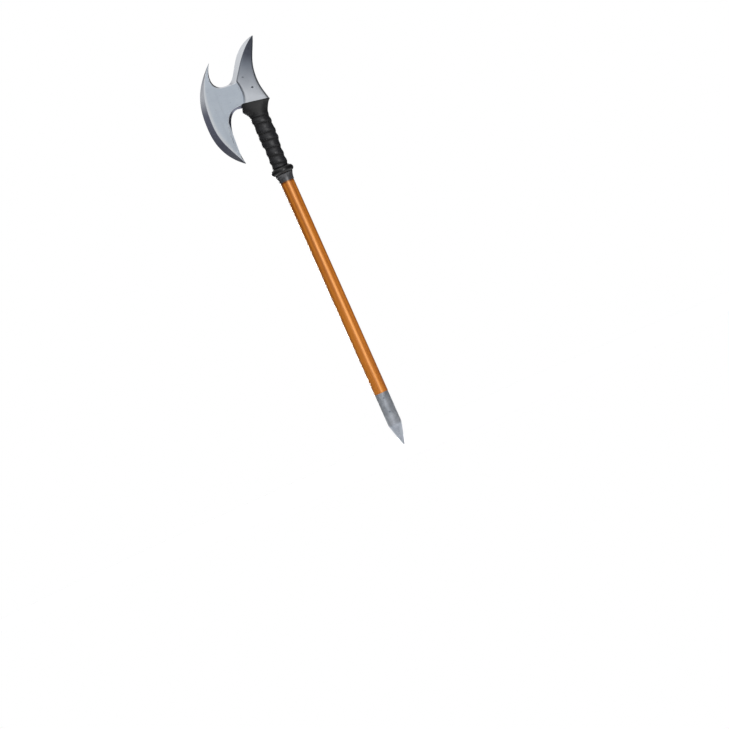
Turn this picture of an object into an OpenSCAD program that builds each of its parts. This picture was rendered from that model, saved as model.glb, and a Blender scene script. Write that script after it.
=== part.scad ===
// Ice axe with a crescent blade and an upswept spike on a turned wooden shaft.
// The shaft's axis is Z. The foot spike's point is the origin and the head is at the top.
// The blade lies in the XZ plane with its cutting edge towards -X.

/* [Shaft] */
// Radius of the turned shaft
shaft_r = 14; // [11:0.5:17]
// Length of bare wood between the ferrule and the collar
bare_len = 452; // [240:1:640]
// How far the ferrule and the collar's seat are turned down below the bare wood
seat_step = 0.4; // [0.2:0.1:0.8]
// Radius of the shaft where the langets and the grip cover it
rebate_r = 12.2; // [9.8:0.1:12.4]
// Radius of the tenon in the head's socket
tenon_r = 8.8; // [6:0.1:8.8]
// Height of the tenon above the head's base
tenon_rise = 16.8; // [8:0.1:17]

/* [Foot] */
// Length of the exposed foot spike
foot_len = 45; // [30:1:80]
// Length of the ferrule above it
ferrule_len = 65; // [55:1:100]
// Wall of the ferrule
ferrule_wall = 1.4; // [0.8:0.1:2]
// Radius of the foot spike's tang
foot_tang_r = 4; // [2.5:0.1:6]
// Length of the foot spike's tang
foot_tang_len = 40; // [32:1:48]
// Radius of the pin and the rivet through the ferrule
foot_pin_r = 2; // [1:0.1:2.5]

/* [Collar] */
// Height of the collar's skirt
skirt_h = 16; // [12:0.5:30]
// Wall of the skirt at its lower rim
skirt_wall = 0.9; // [0.6:0.1:2]
// Height of the bead on top of the skirt
bead_h = 14.5; // [10:0.5:24]
// How far the bead stands out from the shaft
bead_proud = 9; // [5:0.5:12]

/* [Grip] */
// Length of the wrapped grip
grip_len = 108.5; // [90:0.5:180]
// Wall of the rubber underlay at its thin lower end
underlay_wall = 1.1; // [0.8:0.1:3]
// Extra radius of the grip's upper part
grip_swell = 2.1; // [0.5:0.1:4]
// How far the swell leans towards the back of the axe
swell_lean = 2.3; // [0:0.1:3]
// Thickness of the wrap
wrap_t = 1.4; // [0.8:0.1:2.5]

/* [Head] */
// Distance from the shaft's axis to the cutting edge
blade_reach = 100.2; // [84:0.1:122]
// Height of the blade's upper tip above the belly of the edge
horn_up = 122.5; // [106:0.5:150]
// Depth of the blade's lower tip below the belly of the edge
horn_down = 88.5; // [72:0.5:110]
// Thickness of the blade
blade_t = 5; // [3:0.1:5.6]
// Thickness of the ground edges
edge_t = 0.8; // [0.4:0.1:1.5]
// Width of the main bevel at the belly
bevel_w = 11.7; // [6:0.1:14]
// Height of the spike's point above the head's base
spike_rise = 119; // [100:0.5:145]
// Distance from the shaft's axis to the spike's point
spike_lean = 54.7; // [42:0.1:66]
// Thickness of the socket where it meets the hood
socket_t = 32; // [31:0.5:38]
// Outer radius of the neck inside the hood
neck_r = 14.5; // [13.6:0.1:15]
// Height of the hood and of the neck inside it
hood_h = 29.75; // [26:0.25:45]
// Radius of the rivets that lock the blade
blade_rivet_r = 2.4; // [1.5:0.1:3]
// Radius of the pin through the neck and the tenon
tenon_pin_r = 3; // [2:0.1:3.5]

/* [Langets] */
// Width of a langet
langet_w = 12; // [8:0.5:12]
// Distance from the shaft's axis to a langet's inner face
langet_seat = 10.5; // [9:0.1:10.5]
// Length of a langet below the neck
langet_len = 82; // [60:1:90]
// Radius of the langet rivets
langet_rivet_r = 2.2; // [1.5:0.1:3]

/* [Hidden] */

$fn = 96;
fit_gap = 0.1;      // clearance all round between pieces that slide together
past = 5;           // how far a cutting shape runs past what it cuts
cut_steps = 20;     // stations along each curved edge
blunt = 0.02;       // share of an edge's curve that its blunted tip takes off

// Stations along the shaft, from the foot up
ferrule_z = foot_len;
bare_z = ferrule_z + ferrule_len;
skirt_z = bare_z + bare_len;
bead_z = skirt_z + skirt_h;
grip_z = bead_z + bead_h;
hood_z = grip_z + grip_len;
head_z = hood_z + hood_h;
shoulder_z = bead_z + 4;

// Radii that follow from the shaft
ferrule_r = shaft_r - seat_step;
core_r = ferrule_r - ferrule_wall;
collar_r = shaft_r - seat_step;
langet_r = rebate_r + 0.7;
sleeve_r = langet_r + fit_gap;
grip_r = sleeve_r + underlay_wall;
swell_z = 42;       // height in the grip where the swell starts
swell_run = 12;     // height over which it grows

// The head's base is a plane through the axis, lower at the back
base_slope = -0.1925;
function on_base(x) = [x, base_slope * x];

// Cubic curve through four control points
function bez(p, t) = pow(1 - t, 3) * p[0] + 3 * pow(1 - t, 2) * t * p[1]
    + 3 * (1 - t) * t * t * p[2] + pow(t, 3) * p[3];
function curve(p, n = cut_steps, t0 = 0, t1 = 1) = [for (i = [0:n]) bez(p, t0 + (t1 - t0) * i / n)];
function run(a, b) = concat(a, [for (i = [1:len(b) - 1]) b[i]]);
function back(list) = [for (i = [len(list) - 1:-1:0]) list[i]];
function smooth(u) = let (v = min(1, max(0, u))) v * v * (3 - 2 * v);

// The blade's outline in the XZ plane. Heights count from the head's base on the axis.
belly_h = -17.75;
belly = [-blade_reach, belly_h];
horn_tip = [55.7 - blade_reach, belly_h + horn_up];
hook_tip = [41.7 - blade_reach, belly_h - horn_down];
spike_tip = [spike_lean, spike_rise];
notch_low = [-31.2, 49];
arch_top = [-31, -1.75];
edge_top = [horn_tip, horn_tip + [-41.8, -37], belly + [0, 56.4], belly];
edge_low = [belly, belly - [0, 36.3], hook_tip + [-28.7, 22.9], hook_tip];
notch_front = [horn_tip, horn_tip + [-15.1, -19.2], notch_low - [35.1, 0], notch_low];
notch_back = [notch_low, notch_low + [24.7, 0], spike_tip - [58.2, 8.9], spike_tip];
hook_inner = [arch_top, arch_top - [33.8, 0], hook_tip + [-6.2, 21.6], hook_tip];

// Where the bevels start on the blade's flat
bevel_start = belly + [bevel_w, 3];
bevel_top = [horn_tip, horn_tip + [-34, -33], bevel_start + [0, 48], bevel_start];
bevel_low = [bevel_start, bevel_start - [0, 34.9], hook_tip + [-13.4, 30.8], hook_tip];
hook_bevel = [arch_top + [0, 3.5], arch_top + [-40.9, 3.5], hook_tip + [-9.3, 23.9], hook_tip];
notch_bevel = [horn_tip, horn_tip + [-18.2, -21.5], notch_low - [37.5, 2.2], notch_low - [0, 2.2]];

// Where the forging's cheek meets the blade: up the seam, then along the spike
seam_low = on_base(-17);
seam_top = [-11.8, 48.75];
seam = [seam_low, [-8.3, 17.2], [-9.1, 33.8], seam_top];
spike_front = [seam_top, [6.8, 74.4], spike_tip - [29, 14.6], spike_tip];
heel = on_base(34.6);
waist = [27.6, 33.25];
back_low = [heel, [31, 8], waist - [0, 13], waist];
back_top = [waist, waist + [0, 40.3], spike_tip - [14, 34.8], spike_tip];

notch_foot = [notch_low - [0, 2.2], [-24, 46.6], [-16, 45], seam_top];

// The hidden tang of the blade inside the forging, from the base up
spike_n = 18;       // stations along the spike
slot_end = 14;      // the station where the slot runs out
function spike_t(i) = 0.975 * i / spike_n;
tang = [[-14.6, 3.1], [-10.2, 19.5], [19, 19.5], [19, 40], [12, 58], [20, 76], [29, 91],
        bez(spike_front, spike_t(slot_end))];
rivet_spots = [[12.4, 24.9], [3, 50]];

// Half the blade's thickness at a height: full in the middle and thinner towards the tips
taper_low = -50;
taper_high = 60;
tip_half = 1.25;
function half_t(h) = h > taper_high
    ? blade_t / 2 - (blade_t / 2 - tip_half) * (h - taper_high) / (spike_rise - taper_high)
    : h < taper_low
    ? blade_t / 2 - (blade_t / 2 - tip_half) * (taper_low - h) / (horn_down - belly_h + taper_low)
    : blade_t / 2;

// Closed skin over a stack of rings that all have the same number of points
module loft(rings) {
    n = len(rings[0]);
    m = len(rings);
    points = [for (r = rings) for (p = r) p];
    sides = [for (i = [0:m - 2]) for (j = [0:n - 1])
        let (a = i * n + j, b = i * n + (j + 1) % n, c = b + n, d = a + n) each [[a, d, c], [a, c, b]]];
    low = [for (j = [0:n - 1]) j];
    top = [for (j = [n - 1:-1:0]) (m - 1) * n + j];
    polyhedron(points, concat([low], sides, [top]), convexity = 6);
}

module in_xz(t) {
    rotate([90, 0, 0]) linear_extrude(t, center = true) children();
}

// Hole through the shaft from side to side
module cross_hole(r, z) {
    translate([0, 0, z]) rotate([90, 0, 0]) cylinder(r = r, h = 4 * shaft_r, center = true);
}

module at_head() {
    translate([0, 0, head_z]) children();
}

// Wedge of waste beside an edge: from the bevel's start on the flat, down to the ground edge and beyond.
// side is 1 where the edge lies to the left of the way from first to last point, -1 where to the right.
module bevel_waste(start, edge, side) {
    before = -0.3;  // the waste starts this share of the bevel's width before it, clear above the flat
    beyond = 1.5;   // and ends this share past it
    lid = blade_t;
    function slope_point(s, e, u) =
        [s[0] + u * (e[0] - s[0]), half_t(s[1]) + u * (edge_t / 2 - half_t(s[1])),
         s[1] + u * (e[1] - s[1])];
    rings = [for (i = [0:len(start) - 1])
        let (a = slope_point(start[i], edge[i], before), b = slope_point(start[i], edge[i], beyond),
             q = [a, b, [b[0], lid, b[2]], [a[0], lid, a[2]]])
        side > 0 ? q : back(q)];
    loft(rings);
    mirror([0, 1, 0]) loft(rings);
}

module blade_outline() {
    polygon(concat(
        curve(edge_top, t0 = blunt), curve(edge_low, t1 = 1 - blunt),
        back(curve(hook_inner, t1 = 1 - blunt)),
        [[-26, -2.4], [-22.8, -3.9], on_base(-20.6) + [0, 0.1], seam_low],
        tang, [for (i = [slot_end + 1:spike_n]) bez(spike_front, spike_t(i))],
        back(curve(notch_back, t1 = 1 - blunt)), back(curve(notch_front, t0 = blunt))));
}

module thin_to_tips() {
    top = spike_rise + past;
    low = belly_h - horn_down - past;
    profile = [[half_t(low), low], [half_t(taper_low), taper_low], [half_t(taper_high), taper_high],
               [half_t(top), top]];
    rotate([90, 0, 90]) linear_extrude(4 * blade_reach, center = true)
        polygon(concat(profile, back([for (p = profile) [-p[0], p[1]]])));
}

module rivet_row(r) {
    for (p = rivet_spots)
        translate([p[0], 0, p[1]]) rotate([90, 0, 0]) cylinder(r = r, h = 3 * socket_t, center = true);
}

module crescent_blade() {
    t0 = 0.4 * blunt;
    t1 = 1 - t0;
    turn = 0.22;    // share of the notch's back curve where the spike's own bevel starts
    color("#AEB6C0") at_head() difference() {
        intersection() {
            in_xz(blade_t) blade_outline();
            thin_to_tips();
        }
        bevel_waste(run(curve(bevel_top, t0 = t0), curve(bevel_low, t1 = t1)),
                    run(curve(edge_top, t0 = t0), curve(edge_low, t1 = t1)), 1);
        bevel_waste(concat([[-18, 2.2]], curve(hook_bevel, t1 = t1)),
                    concat([[-18, -4.6]], curve(hook_inner, t1 = t1)), -1);
        bevel_waste(run(run(curve(notch_bevel, t0 = t0), curve(notch_foot, 6)),
                        curve(spike_front, t1 = t1)),
                    run(run(curve(notch_front, t0 = t0), curve(notch_back, 6, 0, turn)),
                        curve(notch_back, t0 = turn, t1 = turn + (1 - turn) * t1)), -1);
        rivet_row(blade_rivet_r);
    }
}

// One section of the forging between its front line and its back, rounded by flats
function forged_ring(f, b, half, front_half) =
    let (w = norm(b - f), d = (b - f) / w, c = min(4, 0.14 * w), k = min(9, 0.24 * w),
         prof = [[0, front_half], [0.55 * c, front_half + 0.72 * (half - front_half)],
                 [c + 0.03 * w, 0.985 * half], [0.3 * w, half], [w - k, 0.99 * half],
                 [w - 0.3 * k, 0.93 * half], [w - 0.07 * k, 0.72 * half], [w, 0.45 * half]])
    concat([for (p = prof) [f[0] + d[0] * p[0], -p[1], f[1] + d[1] * p[0]]],
           back([for (p = prof) [f[0] + d[0] * p[0], p[1], f[1] + d[1] * p[0]]]));

// Half the forging's thickness, and half of it on the front line: s is 0 at the base and 1 at the point
point_half = 1.9;
function cheek_half(s) = point_half + (socket_t / 2 - point_half) * pow(1 - s, 1.7);
function front_half(s, h) = max(half_t(h) + 0.45, (half_t(h) + 0.45) * (1 - s) + 0.85 * cheek_half(s) * s);

module forged_body() {
    low_n = 9;
    share = 0.4;    // share of the spike's length below the waist
    loft(concat(
        [for (i = [0:low_n])
            let (t = i / low_n, s = share * t, f = bez(seam, t), b = bez(back_low, t))
            forged_ring(f, b, cheek_half(s), front_half(s, f[1]))],
        [for (i = [1:spike_n])
            let (t = spike_t(i), s = share + (1 - share) * t, f = bez(spike_front, t), b = bez(back_top, t))
            forged_ring(f, b, cheek_half(s), min(front_half(s, f[1]), cheek_half(s)))]));
}

module langet_pocket(gap) {
    for (y = [-1, 1]) translate([-langet_w / 2 - gap, min(y * (langet_seat - gap), y * 2 * shaft_r), 0])
        cube([langet_w + 2 * gap, 2 * shaft_r - langet_seat + gap, langet_top - langet_z + gap]);
}

langet_z = hood_z - langet_len;
langet_top = head_z - 7;
tenon_pin_z = hood_z + 13;

module head_forging() {
    slot = concat([[-60, 2]], tang, [[-60, spike_rise]]);
    color("#8E939C") difference() {
        union() {
            at_head() forged_body();
            translate([0, 0, hood_z + 1]) cylinder(r = neck_r, h = hood_h + 1);
        }
        at_head() in_xz(blade_t + fit_gap) polygon(slot);
        at_head() rivet_row(blade_rivet_r);
        translate([0, 0, hood_z - past])
            cylinder(r = tenon_r + fit_gap, h = hood_h + tenon_rise + past + 0.4);
        translate([0, 0, langet_z]) langet_pocket(0);
        cross_hole(tenon_pin_r, tenon_pin_z);
    }
}

module blade_rivets() {
    color("#5B5F68") at_head() intersection() {
        rivet_row(blade_rivet_r);
        forged_body();
    }
}

module cross_pin(r, z, reach, skin) {
    intersection() {
        translate([0, 0, z]) rotate([90, 0, 0]) cylinder(r = r, h = 4 * reach, center = true);
        translate([0, 0, z - 2 * r]) cylinder(r = reach - skin, h = 4 * r);
    }
}

module tenon_pin() {
    color("#777C84") cross_pin(tenon_pin_r, tenon_pin_z, neck_r, 0.1);
}

// The blind wedge spreads the tenon's sawn end across the axe
wedge_len = 22;
wedge_thin = 1.2;
wedge_thick = 3.2;
module wedge_shape(extra) {
    half = wedge_thick / 2 + extra * (wedge_thick - wedge_thin) / 2 / wedge_len;
    foot = wedge_thin / 2;
    translate([0, 0, head_z + tenon_rise]) in_xz(2 * tenon_r + extra)
        polygon([[-foot, -wedge_len], [foot, -wedge_len], [half, extra], [-half, extra]]);
}

module tenon_wedge() {
    color("#6B4A2B") intersection() {
        wedge_shape(0);
        translate([0, 0, head_z - wedge_len]) cylinder(r = tenon_r, h = wedge_len + tenon_rise);
    }
}

rivet_pitch = langet_len / 3.3;
langet_rivet_z = [for (i = [0:2]) langet_z + langet_w + i * rivet_pitch];
foot_pin_z = ferrule_z + 0.62 * foot_tang_len;
ferrule_rivet_z = bare_z - 11;
tack_z = [grip_z + 6, hood_z - 6];
screw_z = skirt_z + 0.5 * skirt_h;

module shaft() {
    color("#C27A30") difference() {
        union() {
            translate([0, 0, ferrule_z]) cylinder(r = core_r, h = ferrule_len);
            translate([0, 0, bare_z]) cylinder(r = shaft_r, h = bare_len);
            translate([0, 0, skirt_z]) cylinder(r = collar_r, h = shoulder_z - skirt_z);
            translate([0, 0, shoulder_z]) cylinder(r = rebate_r, h = hood_z + 1 - shoulder_z);
            translate([0, 0, hood_z]) cylinder(r = tenon_r, h = hood_h + tenon_rise);
        }
        translate([0, 0, langet_z]) langet_pocket(0);
        for (z = langet_rivet_z) cross_hole(langet_rivet_r, z);
        cross_hole(tenon_pin_r, tenon_pin_z);
        wedge_shape(past);
        translate([0, 0, ferrule_z - past]) cylinder(r = foot_tang_r, h = foot_tang_len + past);
        for (z = [foot_pin_z, ferrule_rivet_z]) cross_hole(foot_pin_r, z);
        screw_shape();
        tack_shapes();
    }
}

module langet(y) {
    difference() {
        intersection() {
            translate([0, 0, langet_z]) union() {
                translate([-langet_w / 2, min(y * langet_seat, y * 2 * shaft_r), langet_w / 2])
                    cube([langet_w, 2 * shaft_r - langet_seat, langet_top - langet_z - langet_w / 2]);
                translate([0, y * langet_seat, langet_w / 2]) rotate([-90 * y, 0, 0])
                    cylinder(r = langet_w / 2, h = shaft_r);
            }
            translate([0, 0, langet_z - past]) cylinder(r = langet_r, h = langet_top - langet_z + 2 * past);
        }
        for (z = langet_rivet_z) cross_hole(langet_rivet_r, z);
        cross_hole(tenon_pin_r, tenon_pin_z);
    }
}

module langet_left() {
    color("#8A8F97") langet(-1);
}

module langet_right() {
    color("#8A8F97") langet(1);
}

module langet_rivets() {
    color("#777C84") for (z = langet_rivet_z) cross_pin(langet_rivet_r, z, langet_r, 0.02);
}

// Rings of the hood, from its lower rim up to the head's base:
// front point, back point, half width and how square the ring is
function hood_rings() = [
    [[-16.0, -hood_h], [21.4, -hood_h], 18.2, 2],
    [[-16.6, 3.7 - hood_h], [22.3, 3.2 - hood_h], 18.4, 2],
    [[-18.4, -22.5], [24.0, -22.8], 18.6, 2.1],
    [[-21.8, -17.6], [26.6, -18.0], 19.0, 2.3],
    [[-24.6, -13.6], [30.2, -12.2], 19.3, 2.6],
    [[-25.0, -12.0], [33.4, -8.7], 19.3, 2.8],
    [[-24.2, -9.3], [34.6, -7.6], 19.2, 3],
    [[-22.0, -3.2], [35.1, -7.1], 18.8, 3.1],
    [on_base(-19.6), on_base(35.3), 18.0, 3.2]];

function squared(a, e) = sign(cos(a)) * pow(abs(cos(a)), 2 / e);
function hood_ring(k, n = 40) =
    let (m = (k[0] + k[1]) / 2, v = (k[1] - k[0]) / 2)
    [for (i = [0:n - 1]) let (a = 360 * i / n, c = squared(a, k[3]), s = squared(a - 90, k[3]))
        [m[0] + v[0] * c, k[2] * s, m[1] + v[1] * c]];

module hood() {
    color("#1E1F21") difference() {
        at_head() loft([for (k = hood_rings()) hood_ring(k)]);
        translate([0, 0, hood_z - past]) cylinder(r = neck_r + fit_gap, h = hood_h + 4 * past);
    }
}

// Radius and lean of the grip at a height above its lower end
function swell(z) = smooth((z - swell_z) / swell_run);
function lean(z) = swell_lean * smooth(z / grip_len * 1.2);
function grip_ring(z, extra, lift = 0, n = 40) =
    let (r = grip_r + grip_swell * swell(z) + extra, x = lean(z))
    [for (i = [0:n - 1]) [x + r * cos(360 * i / n), r * sin(360 * i / n), grip_z + z + lift]];
module grip_loft(extra, over = 0) {
    steps = 16;
    rings = [for (i = [0:steps]) grip_ring(grip_len * i / steps, extra)];
    loft(over == 0 ? rings
        : concat([grip_ring(0, extra, -over)], rings, [grip_ring(grip_len, extra, over)]));
}

module grip_underlay() {
    color("#232427") difference() {
        grip_loft(0);
        translate([0, 0, grip_z - past]) cylinder(r = sleeve_r, h = grip_len + 2 * past);
        tack_shapes();
    }
}

module grip_wrap() {
    color("#2A2B2E") difference() {
        grip_loft(wrap_t);
        grip_loft(0, past);
        tack_shapes();
    }
}

// The tacks lie at the back, one at each end of the wrap
tack_len = 9;
module tack_shapes() {
    for (z = tack_z)
        let (seat = lean(z - grip_z) + grip_r + grip_swell * swell(z - grip_z) + wrap_t)
        translate([seat, 0, z]) rotate([0, -90, 0]) {
            cylinder(r = 0.7, h = tack_len);
            translate([0, 0, -0.6]) cylinder(r1 = 1.2, r2 = 2.2, h = 0.6);
        }
}

module wrap_tacks() {
    color("#777C84") tack_shapes();
}

module collar_skirt() {
    bore = collar_r + fit_gap;
    rim = shaft_r + fit_gap + skirt_wall;
    color("#3C3C3F") translate([0, 0, skirt_z]) difference() {
        rotate_extrude() polygon([[bore, 0], [rim, 0], [rim + 0.4, 2.5], [rim + 1, 0.5 * skirt_h],
            [rim + 2.2, 0.8 * skirt_h], [rim + 3.6, skirt_h - 0.8], [rim + 3.2, skirt_h], [bore, skirt_h]]);
        translate([0, 0, -skirt_z]) screw_shape();
    }
}

// The bead is a round-nosed ring that sits on the shaft's shoulder
module collar_bead() {
    mid = shaft_r + bead_proud - 0.5 * bead_h;
    neck = grip_r + wrap_t;
    nose = [for (a = [-62:8:66]) [mid + 0.5 * bead_h * cos(a), 0.44 * bead_h + 0.46 * bead_h * sin(a)]];
    color("#3C3C3F") translate([0, 0, bead_z]) difference() {
        rotate_extrude() polygon(concat([[shaft_r - past, 0], [shaft_r + 4.3, 0]], nose,
            [[neck + 0.3, bead_h], [shaft_r - past, bead_h]]));
        translate([0, 0, -past]) cylinder(r = collar_r + fit_gap, h = shoulder_z - bead_z + past);
        translate([0, 0, -past]) cylinder(r = rebate_r + fit_gap, h = bead_h + 2 * past);
    }
}

// Countersunk wood screw through the skirt, on the right side
module screw_shape() {
    seat = shaft_r + fit_gap + skirt_wall + 0.6;
    translate([0, seat, screw_z]) rotate([90, 0, 0]) {
        cylinder(r1 = 2.4, r2 = 1.25, h = 1.3);
        cylinder(r = 1.25, h = 10);
    }
}

module collar_screw() {
    color("#8A8F97") screw_shape();
}

module ferrule() {
    color("#8A8F97") difference() {
        translate([0, 0, ferrule_z]) cylinder(r = ferrule_r, h = ferrule_len);
        translate([0, 0, ferrule_z - past]) cylinder(r = core_r, h = ferrule_len + 2 * past);
        for (z = [foot_pin_z, ferrule_rivet_z]) cross_hole(foot_pin_r, z);
    }
}

module foot_spike() {
    tip_r = 1.2;
    color("#8A8F97") difference() {
        union() {
            rotate_extrude() polygon([[0, 0], [0.7, 0.25], [tip_r, 1], [0.2 * ferrule_r, 0.12 * foot_len],
                [0.52 * ferrule_r, 0.45 * foot_len], [0.84 * ferrule_r, 0.8 * foot_len],
                [0.92 * ferrule_r, 0.9 * foot_len], [0.96 * ferrule_r, 0.93 * foot_len],
                [0.975 * ferrule_r, foot_len], [0, foot_len]]);
            translate([0, 0, foot_len - 1]) cylinder(r = foot_tang_r, h = foot_tang_len + 1);
        }
        cross_hole(foot_pin_r, foot_pin_z);
    }
}

module spike_pin() {
    color("#777C84") cross_pin(foot_pin_r, foot_pin_z, ferrule_r, 0.02);
}

module ferrule_rivet() {
    color("#777C84") cross_pin(foot_pin_r, ferrule_rivet_z, ferrule_r, 0.02);
}

head_forging();
crescent_blade();
blade_rivets();
tenon_pin();
shaft();
tenon_wedge();
langet_left();
langet_right();
langet_rivets();
hood();
grip_underlay();
grip_wrap();
wrap_tacks();
collar_skirt();
collar_bead();
collar_screw();
ferrule();
foot_spike();
spike_pin();
ferrule_rivet();
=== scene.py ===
"""Ice axe: a crescent blade and upswept spike on a turned wooden shaft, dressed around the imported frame."""
import math

import bmesh
import bpy
from mathutils import Matrix, Vector, noise
from mathutils.bvhtree import BVHTree


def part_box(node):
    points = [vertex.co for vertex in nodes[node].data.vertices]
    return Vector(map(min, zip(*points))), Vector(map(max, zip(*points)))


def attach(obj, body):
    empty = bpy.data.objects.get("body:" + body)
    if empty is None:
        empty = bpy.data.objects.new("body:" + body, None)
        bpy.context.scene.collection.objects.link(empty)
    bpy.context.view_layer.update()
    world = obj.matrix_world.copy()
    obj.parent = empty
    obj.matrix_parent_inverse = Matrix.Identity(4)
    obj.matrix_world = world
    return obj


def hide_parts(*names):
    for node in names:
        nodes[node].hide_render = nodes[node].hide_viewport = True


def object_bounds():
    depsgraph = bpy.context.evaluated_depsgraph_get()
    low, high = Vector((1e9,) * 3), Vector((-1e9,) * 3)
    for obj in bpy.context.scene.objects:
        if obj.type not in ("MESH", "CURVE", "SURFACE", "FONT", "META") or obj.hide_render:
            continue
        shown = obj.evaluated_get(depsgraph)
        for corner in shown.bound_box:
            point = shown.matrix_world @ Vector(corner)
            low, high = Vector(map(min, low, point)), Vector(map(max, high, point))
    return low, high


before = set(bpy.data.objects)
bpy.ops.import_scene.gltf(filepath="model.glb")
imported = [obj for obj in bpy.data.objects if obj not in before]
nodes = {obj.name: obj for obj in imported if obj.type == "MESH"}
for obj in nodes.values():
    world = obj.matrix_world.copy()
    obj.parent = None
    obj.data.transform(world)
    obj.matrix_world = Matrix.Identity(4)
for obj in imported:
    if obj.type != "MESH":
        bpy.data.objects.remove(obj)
cad_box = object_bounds()
scene = bpy.context.scene
mm = 0.001

# ---------------------------------------------------------------- camera
# A long lens looks square at the blade's side, along +Y. It is rolled, so that the axe leans with
# its head to the left, and stands well back, so that the outline is nearly a flat drawing.
roll = math.radians(24.0)
view_width = 1421.5 * mm
view_centre = Vector((-7.5, 0.0, 173.8)) * mm
image_right = Vector((math.cos(roll), 0.0, -math.sin(roll)))
image_up = Vector((math.sin(roll), 0.0, math.cos(roll)))
towards_eye = Vector((0.0, -1.0, 0.0))

camera = bpy.data.objects.new("camera", bpy.data.cameras.new("camera"))
camera.data.lens = 200
camera.data.sensor_width = 36
camera.data.clip_end = 60
stand_off = view_width * camera.data.lens / camera.data.sensor_width
turn = Matrix((image_right, image_up, towards_eye)).transposed()
camera.matrix_world = Matrix.Translation(view_centre + towards_eye * stand_off) @ turn.to_4x4()
scene.collection.objects.link(camera)
scene.camera = camera
scene.view_settings.view_transform = "Standard"


# ---------------------------------------------------------------- studio
# A pale round table top under the foot, and a sky that is bright above on the left and falls off
# to the lower right. The bare steel sees the sky and a weak box overhead. A key box and two strips
# light only the hood, grip and collar, and two more strips and a box only the wood and the table.
def tint(code):
    """Linear colour from a six-digit screen colour."""
    parts = [int(code[i:i + 2], 16) / 255 for i in (0, 2, 4)]
    return tuple(c / 12.92 if c <= 0.04045 else ((c + 0.055) / 1.055) ** 2.4 for c in parts) + (1.0,)


class Wire:
    """An output socket that takes part in arithmetic: each operator adds a Math node."""

    def __init__(self, bench, socket):
        self.bench = bench
        self.socket = socket

    def __add__(self, other):
        return self.bench.maths("ADD", self, other)

    def __sub__(self, other):
        return self.bench.maths("SUBTRACT", self, other)

    def __rsub__(self, other):
        return self.bench.maths("SUBTRACT", other, self)

    def __mul__(self, other):
        return self.bench.maths("MULTIPLY", self, other)

    def __truediv__(self, other):
        return self.bench.maths("DIVIDE", self, other)

    def __abs__(self):
        return self.bench.maths("ABSOLUTE", self)

    __radd__ = __add__
    __rmul__ = __mul__


class Bench:
    """A node tree being laid out."""

    def __init__(self, tree):
        self.tree = tree
        tree.nodes.clear()

    def node(self, kind, settings=None, sockets=None, out=0):
        """Adds a node, sets it up, fills or links its sockets, and gives one of its outputs."""
        made = self.tree.nodes.new("ShaderNode" + kind)
        for name, value in (settings or {}).items():
            if name == "stops":
                elements = made.color_ramp.elements
                while len(elements) < len(value):
                    elements.new(0.5)
                for element, (place, colour) in zip(elements, value):
                    element.position = place
                    element.color = colour if isinstance(colour, tuple) else (colour, colour, colour, 1)
            else:
                setattr(made, name, value)
        for name, value in (sockets or {}).items():
            if isinstance(value, Wire):
                self.tree.links.new(value.socket, made.inputs[name])
            else:
                made.inputs[name].default_value = value
        return Wire(self, made.outputs[out]) if made.outputs else made

    def maths(self, operation, *values):
        return self.node("Math", {"operation": operation}, dict(enumerate(values)))

    def ramp(self, wire, *stops):
        """A run of colours or greys over a value."""
        return self.node("ValToRGB", {"stops": stops}, {"Fac": wire})

    def between(self, wire, low, high):
        """0 at low, 1 at high and smooth in between. low may be the larger one."""
        return self.node("MapRange", {"interpolation_type": "SMOOTHSTEP"},
                         {"Value": wire, "From Min": low, "From Max": high})

    def mix(self, share, first, second):
        """Mixes two colours."""
        return self.node("Mix", {"data_type": "RGBA"},
                         {0: share, 6: first, 7: second}, out=2)


class Finish(Bench):
    """A material on the piece's own coordinates. What is the same all over goes straight on the shader."""

    def __init__(self, name, **fixed):
        self.material = bpy.data.materials.new(name)
        self.material.use_nodes = True
        super().__init__(self.material.node_tree)
        self.shader = self.tree.nodes.new("ShaderNodeBsdfPrincipled")
        sheet = self.tree.nodes.new("ShaderNodeOutputMaterial")
        self.tree.links.new(self.shader.outputs[0], sheet.inputs[0])
        for socket, value in fixed.items():
            self.shader.inputs[socket.replace("_", " ")].default_value = value
        self.place = self.node("TexCoord", out=3)

    def feed(self, **wires):
        for socket, wire in wires.items():
            self.tree.links.new(wire.socket, self.shader.inputs[socket.replace("_", " ")])

    def axis(self, letter, of=None):
        """One coordinate of the surface, in metres."""
        return self.node("SeparateXYZ", None, {0: of or self.place}, out="XYZ".index(letter))

    def stretched(self, x, y, z, turned=0.0):
        """The surface's place, turned about Y and then with each axis scaled."""
        spun = self.node("Mapping", None, {"Vector": self.place, "Rotation": (0.0, turned, 0.0)})
        return self.node("Mapping", None, {"Vector": spun, "Scale": (x, y, z)})

    def grain(self, scale, place=None, detail=3.0, warp=0.0):
        """Smooth noise from 0 to 1."""
        return self.node("TexNoise", None, {"Vector": place or self.place, "Scale": scale,
                                            "Detail": detail, "Roughness": 0.55, "Distortion": warp})

    def raised(self, height, distance, strength=1.0):
        """Relief from a height."""
        return self.node("Bump", None, {"Height": height, "Distance": distance, "Strength": strength})

    def dress(self, *names):
        """Puts this finish on CAD nodes."""
        for name in names:
            nodes[name].data.materials.clear()
            nodes[name].data.materials.append(self.material)


floor_mesh = bmesh.new()
bmesh.ops.create_circle(floor_mesh, cap_ends=True, radius=0.95, segments=128)
table_data = bpy.data.meshes.new("table_top")
floor_mesh.to_mesh(table_data)
floor_mesh.free()
table_top = bpy.data.objects.new("table_top", table_data)
table_top.location.z = cad_box[0].z - 0.5 * mm
scene.collection.objects.link(table_top)
paper = Finish("table_paper", Roughness=0.9)
paper.feed(Base_Color=paper.ramp(paper.grain(60.0), (0.3, tint("F2F2F3")), (0.7, tint("F8F8F9"))))
table_data.materials.append(paper.material)

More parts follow.
